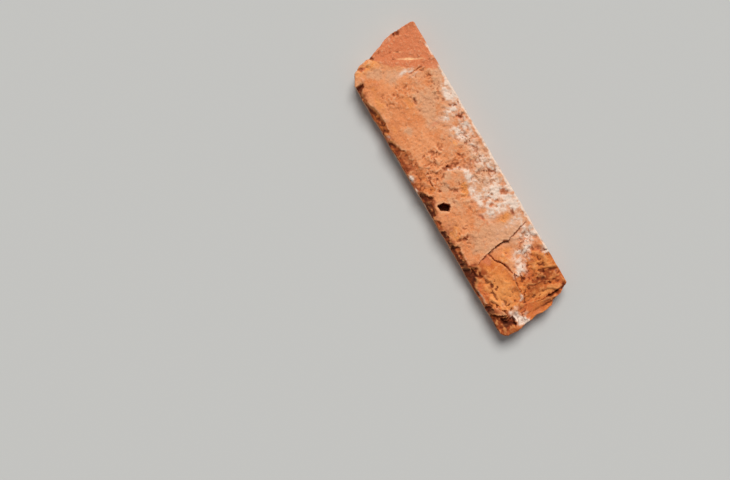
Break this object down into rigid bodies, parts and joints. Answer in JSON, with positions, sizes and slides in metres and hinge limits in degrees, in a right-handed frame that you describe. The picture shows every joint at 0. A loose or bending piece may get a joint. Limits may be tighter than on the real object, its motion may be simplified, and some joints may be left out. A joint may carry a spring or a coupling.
{
  "type": "clay brick slip",
  "caption": "Reclaimed clay brick slip: the weathered face of an old brick on a flat sawn back, with a chipped arris, a cracked and spalled end and traces of lime.",
  "frame": {"origin": "middle of the sawn back, under the middle of the bounding box", "axes": "+X along the brick from its square end to its broken end, +Y across it from the worn arris to the straight one, +Z out of the old face"},
  "size_m": [0.252, 0.066, 0.0215],
  "materials": {
    "fired_clay": "rough fired clay with traces of lime"
  },
  "bodies": {
    "root": {"brick_slip": "fired_clay"}
  },
  "joints": []
}
